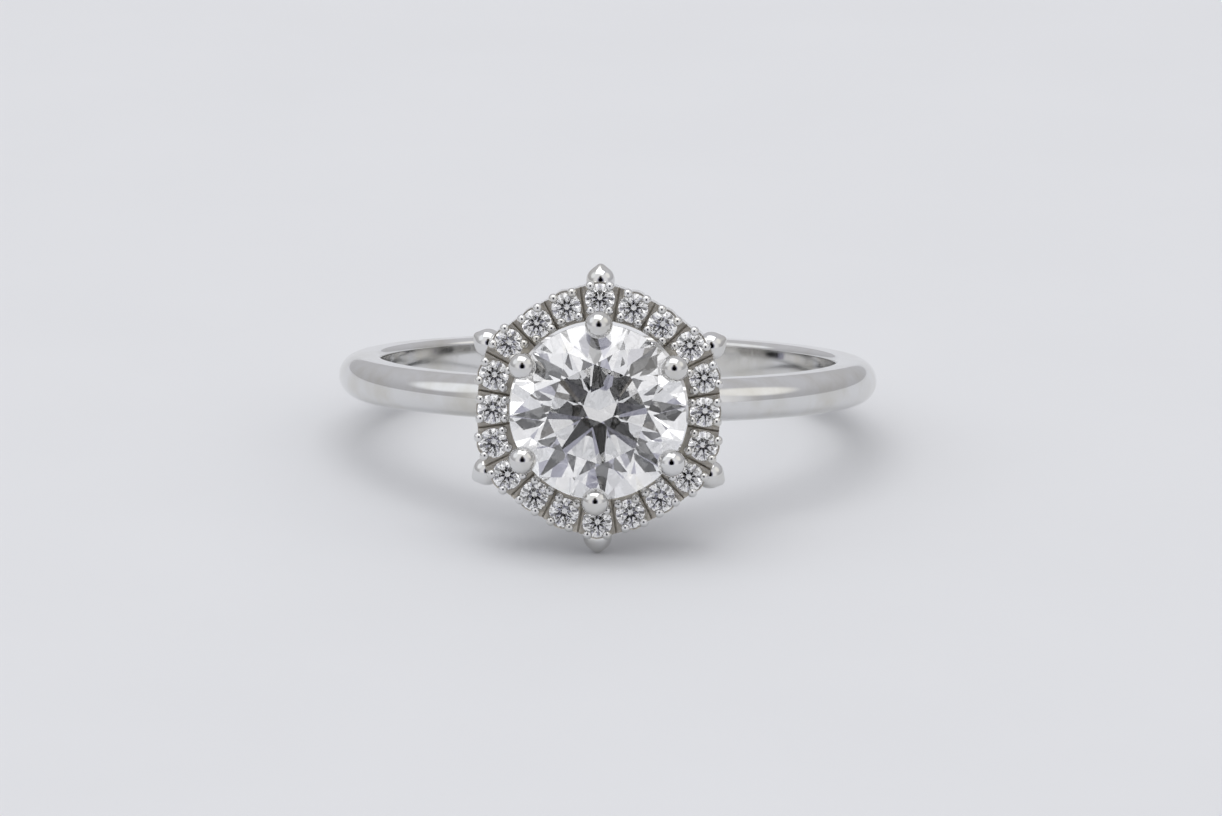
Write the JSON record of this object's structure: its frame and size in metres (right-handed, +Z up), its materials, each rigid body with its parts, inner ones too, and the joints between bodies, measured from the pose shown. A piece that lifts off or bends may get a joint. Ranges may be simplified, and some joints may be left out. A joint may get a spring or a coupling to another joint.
{
  "type": "engagement ring",
  "caption": "White gold halo engagement ring: round brilliant in ball-tipped claws, softly hexagonal halo of small brilliants with a petal tip at each corner, plain half-round shank.",
  "frame": {"origin": "centre of the finger hole, halfway across the shank's width", "axes": "+Z along the finger; -Y out through the table of the centre stone; +X to the right when the head is seen face on with +Z up"},
  "size_m": [0.0206, 0.025, 0.0108],
  "materials": {
    "white_gold": "rhodium-plated white gold, high polish",
    "diamond": "colourless diamond, brilliant cut"
  },
  "bodies": {
    "root": {"shank": "white_gold", "head_base": "white_gold", "gallery_rail": "white_gold", "halo_plate": "white_gold", "outer_beads": "white_gold", "inner_beads": "white_gold", "claw_1": "white_gold", "claw_2": "white_gold", "claw_3": "white_gold", "claw_4": "white_gold", "claw_5": "white_gold", "claw_6": "white_gold", "corner_petal_1": "white_gold", "corner_petal_2": "white_gold", "corner_petal_3": "white_gold", "corner_petal_4": "white_gold", "corner_petal_5": "white_gold", "corner_petal_6": "white_gold", "centre_stone": "diamond", "halo_stone_01": "diamond", "halo_stone_02": "diamond", "halo_stone_03": "diamond", "halo_stone_04": "diamond", "halo_stone_05": "diamond", "halo_stone_06": "diamond", "halo_stone_07": "diamond", "halo_stone_08": "diamond", "halo_stone_09": "diamond", "halo_stone_10": "diamond", "halo_stone_11": "diamond", "halo_stone_12": "diamond", "halo_stone_13": "diamond", "halo_stone_14": "diamond", "halo_stone_15": "diamond", "halo_stone_16": "diamond", "halo_stone_17": "diamond", "halo_stone_18": "diamond", "halo_stone_19": "diamond", "halo_stone_20": "diamond"}
  },
  "joints": []
}
